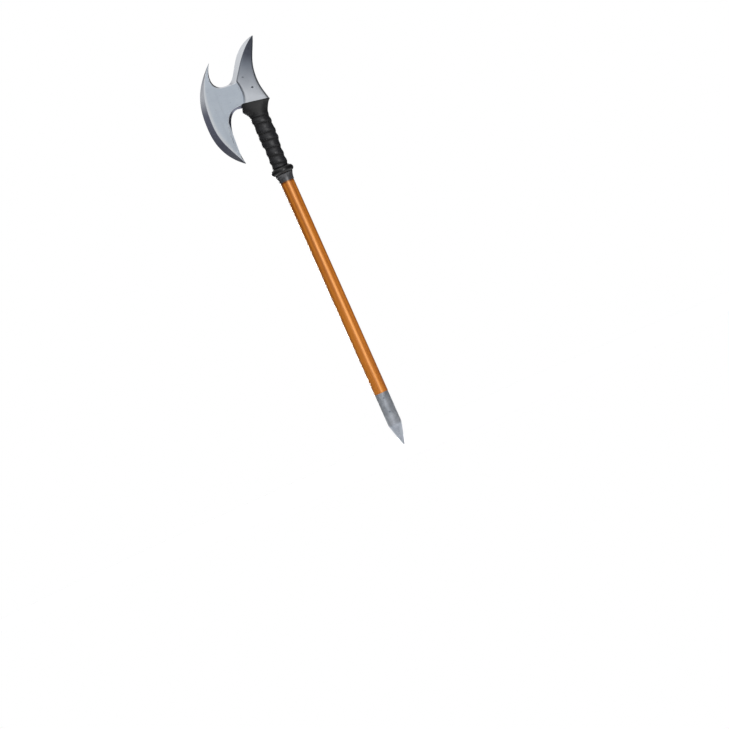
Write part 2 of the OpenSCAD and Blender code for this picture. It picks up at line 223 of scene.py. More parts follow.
scene.world = bpy.data.worlds.new("studio_sky")
scene.world.use_nodes = True
sky = Bench(scene.world.node_tree)
heading = sky.node("TexCoord")


def along(direction):
    return sky.node("VectorMath", {"operation": "DOT_PRODUCT"}, {0: heading, 1: tuple(direction)}, out=1)


lobe = sky.maths("POWER", abs(along(towards_eye)), 2.0)
above = sky.between(along(image_up), -0.20, 0.05)
leftward = sky.between(along(image_right), 0.42, 0.02)
dome = 0.05 + (0.25 + lobe * 0.75) * (0.10 + above * 0.90) * (0.12 + leftward * 0.88)
lamp = sky.node("Background", None, {"Color": (0.97, 0.985, 1.0, 1), "Strength": dome * 0.95})
backdrop = sky.node("Background", None, {"Color": (1.0, 1.0, 1.0, 1), "Strength": 1.0})
seen = sky.node("LightPath")
sky.node("OutputWorld", None, {"Surface": sky.node("MixShader", None, {0: seen, 1: lamp, 2: backdrop})})


def soft_box(name, place, aim, width, height, watts, only=None):
    """A rectangular soft light, on everything or on one group of pieces only."""
    data = bpy.data.lights.new(name, "AREA")
    data.shape = "RECTANGLE"
    data.size = width
    data.size_y = height
    data.energy = watts
    box = bpy.data.objects.new(name, data)
    box.location = place
    box.rotation_euler = (aim - place).to_track_quat("-Z", "Y").to_euler()
    scene.collection.objects.link(box)
    if only:
        box.light_linking.receiver_collection = only


head_middle = Vector((-0.02, 0.0, 0.72))
shaft_middle = Vector((0.0, 0.0, 0.40))
handle = bpy.data.collections.new("handle")
timber = bpy.data.collections.new("timber")
key_place = head_middle + image_up * 1.9 - image_right * 0.9 + towards_eye * 0.9
soft_box("key", key_place, head_middle, 1.2, 1.2, 14, handle)
strip_away = 2.3
strip_wide, strip_tall = 0.5, 1.8
for name, side, out, watts, group in (
        ("front_strip", 1, 0.72, 28, handle), ("rear_strip", -1, 0.72, 28, handle),
        ("front_wood", 1, 0.62, 80, timber), ("rear_wood", -1, 0.62, 80, timber)):
    strip_place = shaft_middle + towards_eye * strip_away * side + Vector((side * out, 0, 0.1))
    soft_box(name, strip_place, shaft_middle, strip_wide, strip_tall, watts, group)
ceiling = Vector((0, 0, 3.0))
for name, watts, group in (("overhead", 12, None), ("table_light", 48, timber)):
    soft_box(name, ceiling, Vector((0, 0, 0)), 2.4, 2.4, watts, group)


# ---------------------------------------------------------------- shaft
# Straight-grained hardwood, turned round and varnished orange brown. Its upper end is cut down
# for the langets and the grip and ends in a tenon, and its foot is cut down for the ferrule.
varnish = Finish("varnished_hardwood", Coat_Roughness=0.42, Coat_IOR=1.5, Specular_IOR_Level=0.85,
                 Specular_Tint=tint("FFC684"), Coat_Tint=tint("F6CE94"))
fibres = varnish.grain(900.0, varnish.stretched(1.0, 1.0, 0.02), 4.0)
streaks = varnish.grain(160.0, varnish.stretched(1.0, 1.0, 0.035), 3.0, 0.6)
growth = varnish.grain(75.0, varnish.stretched(1.0, 0.25, 0.012), 2.0, 1.2)
wood_tone = varnish.ramp(growth * 0.55 + streaks * 0.45, (0.30, tint("6A380E")), (0.45, tint("864C14")),
                         (0.56, tint("965A19")), (0.72, tint("A2661F")))
pores = varnish.between(fibres, 0.42, 0.30)
wood_tone = varnish.mix(pores * 0.30, wood_tone, tint("5C2C0A"))
wood_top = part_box("collar_skirt")[0].z
# Painted shadow: the wood is darkened in a band just below the collar's skirt, where the collar shades it.
painted_collar_shadow = varnish.between(varnish.axis("Z"), wood_top - 4.5 * mm, wood_top - 1 * mm)
wood_tone = varnish.mix(painted_collar_shadow * 0.85, wood_tone, tint("3A1606"))
varnish.feed(Base_Color=wood_tone, Roughness=0.36 + pores * 0.15 + streaks * 0.12,
             Coat_Weight=0.22 - streaks * 0.12,
             Normal=varnish.raised(fibres * 0.6 + streaks * 0.4, 0.12 * mm, 0.35))
varnish.dress("shaft")

# ---------------------------------------------------------------- tenon wedge
# A blind wedge of raw hardwood, driven in with the head so that the tenon spreads in its socket.
raw_wood = Finish("raw_hardwood", Specular_IOR_Level=0.25)
split = raw_wood.grain(1200.0, raw_wood.stretched(1.0, 1.0, 0.03), 4.0)
raw_wood.feed(Base_Color=raw_wood.ramp(split, (0.35, tint("5B3D22")), (0.65, tint("8A6238"))),
              Roughness=0.65 + split * 0.25, Normal=raw_wood.raised(split, 0.15 * mm, 0.5))
raw_wood.dress("tenon_wedge")


# ---------------------------------------------------------------- ferrule, foot spike and their pins
# A drawn steel tube over the shaft's foot, a turned spike whose tang runs up into the wood, and two
# cross pins filed flush. Satin steel, rubbed brighter and scratched at the point.
def satin_steel(name, dark, light, lay=(1.0, 1.0, 0.03), rough=0.36, scratch=0.10, turned=0.0):
    """Steel with fine grinding lines along one direction, faint clouding and small stains."""
    made = Finish(name, Metallic=1.0, Specular_IOR_Level=0.5)
    lines = made.grain(2600.0, made.stretched(*lay, turned=turned), 3.0)
    cloud = made.grain(38.0, None, 3.0, 0.4)
    stain = made.between(made.grain(210.0, None, 2.0), 0.66, 0.76)
    ground = made.ramp(cloud * 0.6 + lines * 0.4, (0.32, tint(dark)), (0.68, tint(light)))
    tone = made.mix(stain * 0.25, ground, tint("4A4642"))
    made.tone, made.lines, made.cloud = tone, lines, cloud
    made.feed(Base_Color=tone, Roughness=rough + lines * scratch + cloud * 0.06 + stain * 0.15,
              Normal=made.raised(lines, 0.05 * mm, 0.30))
    return made


ferrule_steel = satin_steel("ferrule_steel", "8E9299", "C0C4CA", lay=(0.04, 0.04, 1.0))
ferrule_steel.dress("ferrule")
foot_steel = satin_steel("foot_steel", "848992", "BCC1C8", lay=(0.06, 0.06, 1.0), rough=0.30)
worn = foot_steel.between(foot_steel.axis("Z"), 14 * mm, 2 * mm)
pitted = foot_steel.between(foot_steel.grain(420.0), 0.58, 0.68)
foot_steel.feed(Base_Color=foot_steel.mix(worn * pitted, foot_steel.tone, tint("5E5B58")))
foot_steel.dress("foot_spike")
pin_steel = satin_steel("pin_steel", "6E737B", "A2A7AF", lay=(1.0, 1.0, 1.0), rough=0.42)
pin_steel.dress("spike_pin", "ferrule_rivet")

# ---------------------------------------------------------------- langets and their rivets
# Two mild steel straps run down from the neck, let into flats on the shaft, and three rivets go
# through both and the wood. The grip hides them. The pin through neck, langets and tenon is alike.
langet_steel = satin_steel("langet_steel", "6A6F78", "9DA2AA", lay=(1.0, 1.0, 0.02), rough=0.46)
langet_steel.dress("langet_left", "langet_right")
pin_steel.dress("langet_rivets", "tenon_pin")


# ---------------------------------------------------------------- head forging
# Drop-forged steel: a thick cheek on each side of the blade thins upwards, in a hollow sweep, into
# the back of the spike. It is satin ground, with painted light and shade: pale at the base, dark towards the
# point.
def bezier(p, t):
    return p[0] * (1 - t) ** 3 + p[1] * 3 * (1 - t) ** 2 * t + p[2] * 3 * (1 - t) * t ** 2 + p[3] * t ** 3


def flat(x, h):
    """A point in the axe's middle plane, in millimetres from where the shaft's axis meets the head's base."""
    return Vector((x, h))


def run(points, count, start=0.0, end=1.0):
    """Points along a cubic curve."""
    return [bezier(points, start + (end - start) * i / count) for i in range(count + 1)]


def step(value, low, high):
    """0 at low, 1 at high and smooth in between."""
    u = min(1.0, max(0.0, (value - low) / (high - low)))
    return u * u * (3 - 2 * u)


def eased(table, t):
    """A smooth curve through evenly spaced rows of numbers, at t from 0 to 1."""
    place = t * (len(table) - 1)
    i = min(int(place), len(table) - 2)
    u = place - i
    a, b, c, d = (table[min(max(i + k, 0), len(table) - 1)] for k in (-1, 0, 1, 2))
    return [0.5 * (2 * q + (r - p) * u + (2 * p - 5 * q + 4 * r - s) * u * u
                   + (3 * q - p - 3 * r + s) * u ** 3) for p, q, r, s in zip(a, b, c, d)]


def settle(name, made, finish, slot, *replaced, sharp=32.0, weighted=False):
    """Puts a finished mesh into the scene as a piece of the axe that stands for CAD nodes.

    weighted lets the large faces set the shading, which keeps a ground flat flat up to its edge.
    """
    bmesh.ops.recalc_face_normals(made, faces=made.faces)
    data = bpy.data.meshes.new(name)
    made.to_mesh(data)
    made.free()
    data.materials.append(finish.material)
    data.shade_smooth()
    data.set_sharp_from_angle(angle=math.radians(sharp))
    piece = bpy.data.objects.new(name, data)
    scene.collection.objects.link(piece)
    if weighted:
        piece.modifiers.new("flat_shading", "WEIGHTED_NORMAL").keep_sharp = True
    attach(piece, "root")
    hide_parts(*replaced)
    return piece


def skin(made, rings, closed=True):
    """Quads between rings of equally many points. closed joins the last point of each ring to its first."""
    rows = [[made.verts.new(p) for p in ring] for ring in rings]
    count = len(rows[0])
    for low, high in zip(rows, rows[1:]):
        for i in range(count if closed else count - 1):
            j = (i + 1) % count
            made.faces.new((low[i], low[j], high[j], high[i]))
    return rows


tenon_rise = 16.8
head_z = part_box("shaft")[1].z - tenon_rise * mm
base_slope = -0.1925
blade_half = 2.5
tip_half = 1.25
horn_tip = flat(-44.5, 104.75)
hook_tip = flat(-58.5, -106.25)
belly = flat(-100.2, -17.75)
spike_tip = flat(54.7, 119.0)
notch_low = flat(-31.2, 49.0)
seam_top = flat(-11.8, 48.75)
seam = [flat(-17, -17 * base_slope), flat(-8.3, 17.2), flat(-9.1, 33.8), seam_top]
spike_front = [seam_top, flat(6.8, 74.4), spike_tip - flat(29, 14.6), spike_tip]
heel = flat(34.6, 34.6 * base_slope)
waist = flat(27.6, 33.25)
back_low = [heel, flat(31, 8), waist - flat(0, 13), waist]
back_top = [waist, waist + flat(0, 40.3), spike_tip - flat(14, 34.8), spike_tip]


def blade_half_at(h):
    """Half the blade's thickness: full in the middle, thinner towards the tips."""
    up = max(0.0, (h - 60) / (119 - 60))
    down = max(0.0, (-50 - h) / (106.25 - 50))
    return blade_half - (blade_half - tip_half) * min(1.0, up + down)


cheek_full = 16.0    # half the thickness at the base
cheek_thin = 1.9    # and at the spike's point


def cheek_half_at(s):
    """Half the forging's thickness, s from 0 at its base to 1 at the spike's point."""
    return cheek_thin + (cheek_full - cheek_thin) * (1 - s) ** 1.7


def front_half_at(f, s):
    """Half the forging's thickness along its front line, always a little proud of the blade."""
    proud = blade_half_at(f.y) + 0.45
    return max(proud, proud * (1 - s) + 0.85 * cheek_half_at(s) * s)


def on_head(p, y):
    """A point of the middle plane, set off to one side, in the frame's metres."""
    return Vector((p.x, y, p.y)) * mm + Vector((0, 0, head_z))


def forged_section(f, b, half, front_half, across=22):
    """Ring of one section: a rounded front line, a flat cheek, and a back drawn in to a narrower face."""
    w = (b - f).length
    d = (b - f) / w
    c = min(4.0, 0.14 * w)
    k = min(9.0, 0.24 * w)
    profile = [(0, front_half), (0.55 * c, front_half + 0.72 * (half - front_half)),
               (c + 0.03 * w, 0.985 * half), (0.3 * w, half), (w - k, 0.99 * half),
               (w - 0.3 * k, 0.93 * half), (w - 0.07 * k, 0.72 * half), (w, 0.45 * half)]
    side = [eased(profile, i / across) for i in range(across + 1)]
    return ([on_head(f + d * a, -y) for a, y in side] + [on_head(f + d * a, y) for a, y in reversed(side)])


low_share = 0.4    # the share of the forging that lies below the waist of its back
low_rings = 20
spike_rings = 48
spike_end = 0.985    # the last ring stands short of the point, where the section would be nothing
forged_rings = []
for i in range(low_rings + 1):
    t = i / low_rings
    s = low_share * t
    f = bezier(seam, t)
    forged_rings.append(forged_section(f, bezier(back_low, t), cheek_half_at(s), front_half_at(f, s)))
for i in range(1, spike_rings + 1):
    t = spike_end * i / spike_rings
    s = low_share + (1 - low_share) * t
    f = bezier(spike_front, t)
    forged_rings.append(forged_section(f, bezier(back_top, t), cheek_half_at(s),
                                       min(front_half_at(f, s), cheek_half_at(s))))
forging = bmesh.new()
forged_rows = skin(forging, forged_rings)
forging.faces.new(forged_rows[0])
forging.faces.new(forged_rows[-1])

forged_steel = satin_steel("forged_steel", "9CA1AA", "BDC2CA", lay=(0.05, 1.0, 1.0), rough=0.34, turned=0.35)
# Painted light and shade: the cheek's colour runs from near white at the base to dark grey towards the point
# and the back, where the hollow cheek turns away from the light.
reach_up = (forged_steel.axis("Z") - head_z + forged_steel.axis("X") * 0.6) / (140 * mm)
scaled = forged_steel.ramp(reach_up + (forged_steel.cloud - 0.5) * 0.10,
                           (0.10, tint("EBEEF3")), (0.31, tint("C6CAD1")), (0.58, tint("8A909B")),
                           (0.76, tint("4F5360")), (0.95, tint("40434E")))
hammered = forged_steel.grain(95.0, None, 2.0)
forged_steel.feed(
    Base_Color=forged_steel.mix(0.88, forged_steel.tone, scaled),
    Normal=forged_steel.raised(forged_steel.lines * 0.3 + hammered * 0.7, 0.22 * mm, 0.35))
cheek_skin = BVHTree.FromBMesh(forging)
settle("forged_head", forging, forged_steel, "forged_steel", "head_forging", sharp=28)

# ---------------------------------------------------------------- crescent blade
# One steel plate let into the forging: a long ground bevel round the crescent's edge, narrower ones in
# the notch and inside the hook, and one up the front of the spike. Its edges are left 0.8 mm wide.
land = 0.4
bevel_start = belly + flat(11.7, 3)
arch_top = flat(-31, -1.75)
edge_top = [horn_tip, horn_tip + flat(-41.8, -37), belly + flat(0, 56.4), belly]
edge_low = [belly, belly - flat(0, 36.3), hook_tip + flat(-28.7, 22.9), hook_tip]
notch_front = [horn_tip, horn_tip + flat(-15.1, -19.2), notch_low - flat(35.1, 0), notch_low]
notch_back = [notch_low, notch_low + flat(24.7, 0), spike_tip - flat(58.2, 8.9), spike_tip]
hook_inner = [arch_top, arch_top - flat(33.8, 0), hook_tip + flat(-6.2, 21.6), hook_tip]
bevel_top = [horn_tip, horn_tip + flat(-34, -33), bevel_start + flat(0, 48), bevel_start]
bevel_low = [bevel_start, bevel_start - flat(0, 34.9), hook_tip + flat(-13.4, 30.8), hook_tip]
hook_bevel = [arch_top + flat(0, 3.5), arch_top + flat(-40.9, 3.5), hook_tip + flat(-9.3, 23.9), hook_tip]
notch_bevel = [horn_tip, horn_tip + flat(-18.2, -21.5), notch_low - flat(37.5, 2.2), notch_low - flat(0, 2.2)]
notch_foot = [notch_low - flat(0, 2.2), flat(-24, 46.6), flat(-16, 45), seam_top]
tang = [(-14.6, 3.1), (-10.2, 19.5), (19, 19.5), (19, 40), (12, 58), (20, 76), (29, 91)]
blunt = 0.02
spike_turn = 0.22
main_steps = 44
hook_steps = 40
foot_steps = 10
notch_steps = 40
main_points = 2 * main_steps + 1

edge_line = (run(edge_top, main_steps, blunt) + run(edge_low, main_steps, 0, 1 - blunt)[1:]
             + run(hook_inner, hook_steps, 1 - blunt, 0) + [flat(-24, -3.4), flat(-18, -4.6)])
start_line = (run(bevel_top, main_steps, blunt) + run(bevel_low, main_steps, 0, 1 - blunt)[1:]
              + run(hook_bevel, hook_steps, 1 - blunt, 0) + [flat(-24, 2.0), flat(-18, 2.2)])
for x, h in tang:    # the tang stays hidden in the forging
    edge_line.append(flat(x + 0.5, h - 0.5))
    start_line.append(flat(x, h))
edge_line += (run(notch_back, notch_steps, 1 - blunt, spike_turn)
              + run(notch_back, foot_steps, spike_turn, 0)[1:]
              + run(notch_front, notch_steps, 1, blunt)[1:])
start_line += (run(spike_front, notch_steps, 1 - blunt, 0) + run(notch_foot, foot_steps, 1, 0)[1:]
               + run(notch_bevel, notch_steps, 1, blunt)[1:])


def on_bevel(share, main_share=None):
    """The line at a share of the bevel's width, for one side. Below 0 it lies on the plate's flat.

    main_share, if given, holds half way along the crescent's long bevel, and dies away at its ends.
    """
    line = []
    for i, (a, b) in enumerate(zip(start_line, edge_line)):
        here = share
        if main_share is not None and i < main_points:
            here += (main_share - share) * math.sin(math.pi * i / (main_points - 1))
        half = blade_half_at(a.y)
        line.append(on_head(a + (b - a) * here, half + (land - half) * max(0.0, here)))
    return line


# Painted light and shade on the ground bevels: pale where a bevel faces up, dark where it faces down or into
# the hook.
horn_painted_light = 0.62    # the upper end of the main bevel
tip_painted_light = 0.14    # its lower end, near the hook
spike_painted_light = 0.92
notch_painted_light = 0.75


def painted_bevel_light(i):
    """Painted light and shade on the ground bevels at a point of the edge: palest up the spike, dark inside
    the hook.
    """
    spike_first = main_points + hook_steps + 2 + len(tang)
    if i < main_points:
        return max(horn_painted_light * step(edge_line[i].y, 5, 50), tip_painted_light * step(i, 62, 82))
    if i < spike_first:
        return 0.0
    if i <= spike_first + notch_steps:
        return spike_painted_light
    return spike_painted_light + (notch_painted_light - spike_painted_light) * step(i - spike_first - notch_steps, 0, 9)


plate = bmesh.new()
edge_rank = plate.verts.layers.float.new("edge_rank")    # 1 on a bevel, 0.5 beside it, 0 on the flat
edge_pale = plate.verts.layers.float.new("edge_pale")
rows = skin(plate, [[on_head(b, 0) for b in edge_line], on_bevel(1.0), on_bevel(0.5), on_bevel(0.08),
                    on_bevel(-0.05), on_bevel(-0.28, -0.85)])
for row, rank in zip(rows, (1.0, 1.0, 1.0, 1.0, 0.5, 0.0)):
    for i, v in enumerate(row):
        v[edge_rank] = rank
        v[edge_pale] = painted_bevel_light(i)
face = plate.faces.new(rows[-1])
bmesh.ops.triangulate(plate, faces=[face])
for k in range(-9, 12):    # level cuts every 10 mm keep the flat's faces small and even
    cut = [f for f in plate.faces if all(abs(v.co.y) > (tip_half - 0.1) * mm for v in f.verts)]
    cut_edges = list({e for f in cut for e in f.edges})
    bmesh.ops.bisect_plane(plate, geom=cut + cut_edges + list({v for f in cut for v in f.verts}),
                           plane_co=Vector((0, 0, head_z + (10 * k + 0.13) * mm)), plane_no=Vector((0, 0, 1)))
mirrored = bmesh.ops.duplicate(plate, geom=plate.verts[:] + plate.edges[:] + plate.faces[:])["geom"]
for v in mirrored:
    if isinstance(v, bmesh.types.BMVert):
        v.co.y = -v.co.y
bmesh.ops.remove_doubles(plate, verts=plate.verts, dist=0.002 * mm)

blade_steel = satin_steel("blade_steel", "CBD4DF", "DBE3EC", lay=(0.04, 1.0, 1.0), rough=0.30, turned=-0.25)
rank = blade_steel.node("Attribute", {"attribute_name": "edge_rank"}, out=2)
ground = blade_steel.between(rank, 0.55, 0.75)
# Painted highlight: the flat is lightened almost to white in a band just inside each bevel's line.
rim = blade_steel.between(rank, 0.0, 0.5) * (1 - ground)
fine = blade_steel.grain(3400.0, blade_steel.stretched(1.0, 1.0, 0.06, turned=0.9), 2.0)
plate_tone = blade_steel.mix(rim * 0.9, blade_steel.tone, tint("F2F4F7"))
# Painted light and shade: each bevel's tone is mixed from a dark and a pale ground steel by the painted light
# share stored on its points.
pale = blade_steel.node("Attribute", {"attribute_name": "edge_pale"}, out=2)
ground_tone = blade_steel.mix(pale, blade_steel.ramp(fine, (0.2, tint("6C6E7C")), (0.8, tint("7D7F8E"))),
                              blade_steel.ramp(fine, (0.2, tint("E2E4E8")), (0.8, tint("EEF0F3"))))
blade_steel.feed(
    Base_Color=blade_steel.mix(ground, plate_tone, ground_tone),
    Roughness=0.31 + blade_steel.lines * 0.06 + blade_steel.cloud * 0.05 - ground * 0.08)
settle("crescent_plate", plate, blade_steel, "blade_steel", "crescent_blade", sharp=24, weighted=True)

# ---------------------------------------------------------------- blade rivets
# Two steel rivets through cheek, blade and cheek, peened over. The lower one keeps a low dark dome,
# the upper one is filed almost flush and dressed with the cheek.
peened = bmesh.new()
rivet_r = 2.4
rivet_points = 32
for x, h, crown_high in ((12.4, 24.9, 1.0), (3.0, 50.0, 0.25)):
    rings = []
    for side in (-1, 1):
        outside = on_head(flat(x, h), side * 40)
        reach = abs(cheek_skin.ray_cast(outside, Vector((0, -side, 0)))[0].y) / mm - 0.04
        dome = [(rivet_r, -1.2), (rivet_r, 0.02), (0.93 * rivet_r, 0.13 * crown_high),
                (0.7 * rivet_r, 0.24 * crown_high), (0.35 * rivet_r, 0.30 * crown_high)]
        rings += [[on_head(flat(x + r * math.cos(a), h + r * math.sin(a)), side * (reach + y))
                   for a in (math.tau * n / rivet_points for n in range(rivet_points))]
                  for r, y in dome[::side]]
    ends = skin(peened, rings)
    peened.faces.new(ends[0])
    peened.faces.new(ends[-1])
rivet_steel = satin_steel("rivet_steel", "5C6068", "7D8189", lay=(1.0, 1.0, 1.0), rough=0.40)
dressed = rivet_steel.between(rivet_steel.axis("Z") - head_z, 34 * mm, 40 * mm)
rivet_steel.feed(Base_Color=rivet_steel.mix(dressed, rivet_steel.tone, rivet_steel.ramp(
    rivet_steel.cloud, (0.3, tint("888D96")), (0.7, tint("949AA3")))))
settle("peened_rivets", peened, rivet_steel, "rivet_steel", "blade_rivets")

# ---------------------------------------------------------------- grip underlay
# A moulded rubber sleeve over the langets, thicker in its upper half and swelled towards the back.
# It shows only where the tape leaves it bare at the ends.
sleeve_rubber = Finish("sleeve_rubber", Specular_IOR_Level=0.3)
dimple = sleeve_rubber.grain(700.0)
sleeve_rubber.feed(Base_Color=sleeve_rubber.ramp(dimple, (0.3, tint("19191B")), (0.7, tint("252528"))),
                   Roughness=0.62 + dimple * 0.2, Normal=sleeve_rubber.raised(dimple, 0.1 * mm, 0.5))
sleeve_rubber.dress("grip_underlay")

# ---------------------------------------------------------------- grip wrap
# One long black tape wound up the grip by hand. Each turn laps the turn below, so every turn's
# lower edge stands out as a soft step that runs down to the right. A tack holds each end.
grip_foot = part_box("grip_wrap")[0].z / mm
grip_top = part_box("grip_wrap")[1].z / mm
grip_len = grip_top - grip_foot
tape_w = 27.0
tape_t = 1.05
edge_heights = [-24, -8, 7, 23.5, 40.5, 56.5, 71, 92, 106, 121]    # lower edge in front, from the grip's foot
steps_round = 96
tape_steps = 22


def grip_section(h):
    """Radius and lean of the sleeve under the tape, h above the grip's foot."""
    return 14.1 + 2.1 * step(h, 42, 54), 2.3 * step(h * 1.2, 0, grip_len)


def edge_height(turns):
    """Height of the tape's lower edge after so many turns."""
    return eased([(h,) for h in edge_heights], min(1.0, turns / (len(edge_heights) - 1)))[0]


tape = bmesh.new()
tape_rings = []
tape_bands = []
for i in range((len(edge_heights) - 1) * steps_round + 1):
    turns = i / steps_round
    angle = -math.tau * turns - math.pi / 2
    low = edge_height(turns)
    low += 0.7 * noise.noise(Vector((turns * 3.1, 4.7, 0)))
    high = min(low + tape_w, grip_len + 0.6)
    start = max(low, 0.0)
    if high - start < 2.0:
        continue
    next_low = max(edge_height(turns + 1), low + 8.0)
    outside, inside, bands = [], [], []
    for j in range(tape_steps + 1):
        h = start + (high - start) * j / tape_steps
        v = (h - low) / tape_w
        r, lean = grip_section(h)
        lap = tape_t * step(v, 0.46, 0.20)
        bare = (h - low) / (next_low - low)    # 0 at this turn's lower edge, 1 where the next turn covers it
        swollen = 0.55 * step(bare, 0.0, 0.30) * step(bare, 1.0, 0.55)
        # band is 1 on each turn's bare crown and 0 in the crevice beside the next turn's edge, where it sets
        # the painted shade.
        bands.append(step(bare, 0.0, 0.28) * step(bare, 1.0, 0.66))
        crease = 0.16 * noise.noise(Vector((angle * 5.2, h * 0.16, turns * 1.7)))
        crease += 0.10 * noise.noise(Vector((angle * 11.0 + h * 0.35, h * 0.5, 8.1)))
        thick = tape_t * (0.30, 0.80, 1.0)[min(j, tape_steps - j, 2)]    # rounded at both edges
        for line, radius in ((outside, r + lap + thick + swollen + crease), (inside, r + lap + 0.04)):
            x, y = lean + radius * math.cos(angle), radius * math.sin(angle)
            line.append(Vector((x, y, grip_foot + h)) * mm)
    tape_rings.append(outside + inside[::-1])
    tape_bands.append(bands + [0.0] * len(inside))
band = tape.verts.layers.float.new("band")
tape_rows = skin(tape, tape_rings)
for row, bands in zip(tape_rows, tape_bands):
    for v, amount in zip(row, bands):
        v[band] = amount
tape.faces.new(tape_rows[0])
tape.faces.new(tape_rows[-1])

grip_tape = Finish("grip_tape", Specular_IOR_Level=0.5)
crown = grip_tape.node("Attribute", {"attribute_name": "band"}, out=2)    # 0 in a crevice, 1 on a crown
pebble = grip_tape.grain(1500.0, None, 2.0)
rubbed = grip_tape.grain(55.0, grip_tape.stretched(1.0, 1.0, 1.6), 3.0, 0.5)
tape_tone = grip_tape.ramp(rubbed * 0.7 + pebble * 0.3, (0.30, tint("131315")), (0.55, tint("1C1C1F")),
                           (0.75, tint("262629")))
# Painted shade: the tape is darkened nearly to black in the crevices under each turn's lower edge.
grip_tape.feed(Base_Color=grip_tape.mix(crown * 0.85 + 0.15, tint("030304"), tape_tone),
               Roughness=0.74 - crown * 0.36 + pebble * 0.10 + rubbed * 0.08,
               Normal=grip_tape.raised(pebble * 0.6 + rubbed * 0.4, 0.12 * mm, 0.4))
settle("wound_tape", tape, grip_tape, "wrap_tape", "grip_wrap", sharp=60)

# ---------------------------------------------------------------- wrap tacks
# Two blackened steel tacks, driven in at the back through tape and sleeve.
blacked_steel = satin_steel("blacked_steel", "35363A", "56585E", lay=(1.0, 1.0, 1.0), rough=0.45)
blacked_steel.dress("wrap_tacks")

# ---------------------------------------------------------------- hood
# A moulded black rubber boot over the neck. Its top fits under the head's slanted base and flares
# into a lip in front and behind, and its lower rim covers the tape's upper end.
hood_drop = 29.75
# Front and back edge of each ring, as x and height each, then half its width and how square it is
hood_table = [(-16.0, -hood_drop, 21.4, -hood_drop, 18.2, 2.0),
              (-16.6, 3.7 - hood_drop, 22.3, 3.2 - hood_drop, 18.4, 2.0),
              (-18.4, -22.5, 24.0, -22.8, 18.6, 2.1), (-21.8, -17.6, 26.6, -18.0, 19.0, 2.3),
              (-24.6, -13.6, 30.2, -12.2, 19.3, 2.6), (-25.0, -12.0, 33.4, -8.7, 19.3, 2.8),
              (-24.2, -9.3, 34.6, -7.6, 19.2, 3.0), (-22.0, -3.2, 35.1, -7.1, 18.8, 3.1),
              (-19.6, -19.6 * base_slope, 35.3, 35.3 * base_slope, 18.0, 3.2)]
hood_r = 14.6
hood_points = 72


def hood_ring(t, inset=0.0):
    """A ring of the hood's outside, t from 0 at its lower rim to 1 under the head."""
    fx, fh, bx, bh, half, square = eased(hood_table, t)
    ring = []
    for i in range(hood_points):
        a = math.tau * i / hood_points
        c, s = (math.copysign(abs(q) ** (2 / square), q) for q in (math.cos(a), math.sin(a)))
        x = (fx + bx) / 2 + ((bx - fx) / 2 - inset) * c
        h = (fh + bh) / 2 + (bh - fh) / 2 * c
        ring.append(Vector((x, (half - inset) * s, h)) * mm + Vector((0, 0, head_z)))
    return ring


def hood_bore(height, lift):
    """A ring of the hole, level for lift 0 and along the head's base for lift 1."""
    ring = [flat(hood_r * math.cos(a), hood_r * math.sin(a)) for a in
            (math.tau * i / hood_points for i in range(hood_points))]
    return [on_head(flat(p.x, height + lift * base_slope * p.x), p.y) for p in ring]


boot = bmesh.new()
boot_rings = [hood_bore(-hood_drop, 0), hood_ring(0.0, 1.1),
              [p + Vector((0, 0, 0.25)) * mm for p in hood_ring(0.0, 0.35)]]
hood_rings = 56
boot_rings += [hood_ring(0.012 + 0.976 * i / hood_rings) for i in range(hood_rings + 1)]
boot_rings += [hood_ring(1.0, 0.5), hood_bore(0, 1), hood_bore(-hood_drop, 0)]
skin(boot, boot_rings)
bmesh.ops.remove_doubles(boot, verts=boot.verts, dist=0.01 * mm)

hood_rubber = Finish("hood_rubber", Specular_IOR_Level=0.46)
moulded = hood_rubber.grain(1100.0, None, 2.0)
dusty = hood_rubber.grain(42.0, None, 3.0, 0.4)
hood_tone = hood_rubber.ramp(dusty * 0.7 + moulded * 0.3, (0.32, tint("0C0C0D")), (0.68, tint("141416")))
hood_rubber.feed(Base_Color=hood_tone,
                 Roughness=0.50 + moulded * 0.10 + dusty * 0.08,
                 Normal=hood_rubber.raised(moulded, 0.06 * mm, 0.4))
settle("moulded_hood", boot, hood_rubber, "hood_rubber", "hood", sharp=50)

# ---------------------------------------------------------------- collar
# A skirt and a beaded ring turned in steel and painted satin black. The skirt is coloured a lighter
# metallic grey as a painted highlight. The bead sits on the shaft's shoulder, and one blackened wood
# screw holds the skirt.
collar_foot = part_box("collar_skirt")[0].z / mm
bead_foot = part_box("collar_bead")[0].z / mm
bead_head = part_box("collar_bead")[1].z / mm
bead_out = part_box("collar_bead")[1].x / mm
turned_points = 112


def turned(name, profile, finish, slot, *replaced):
    """A ring turned to a closed profile of (radius, height)."""
    made = bmesh.new()
    skin(made, [[Vector((r * math.cos(a), r * math.sin(a), z)) * mm
                 for a in (math.tau * n / turned_points for n in range(turned_points))]
                for r, z in profile + profile[:1]])
    bmesh.ops.remove_doubles(made, verts=made.verts, dist=0.001 * mm)
    return settle(name, made, finish, slot, *replaced, sharp=38)


collar_paint = Finish("collar_paint", Specular_IOR_Level=0.42)
orange_peel = collar_paint.grain(900.0, None, 2.0)
handled = collar_paint.grain(45.0, None, 3.0, 0.4)
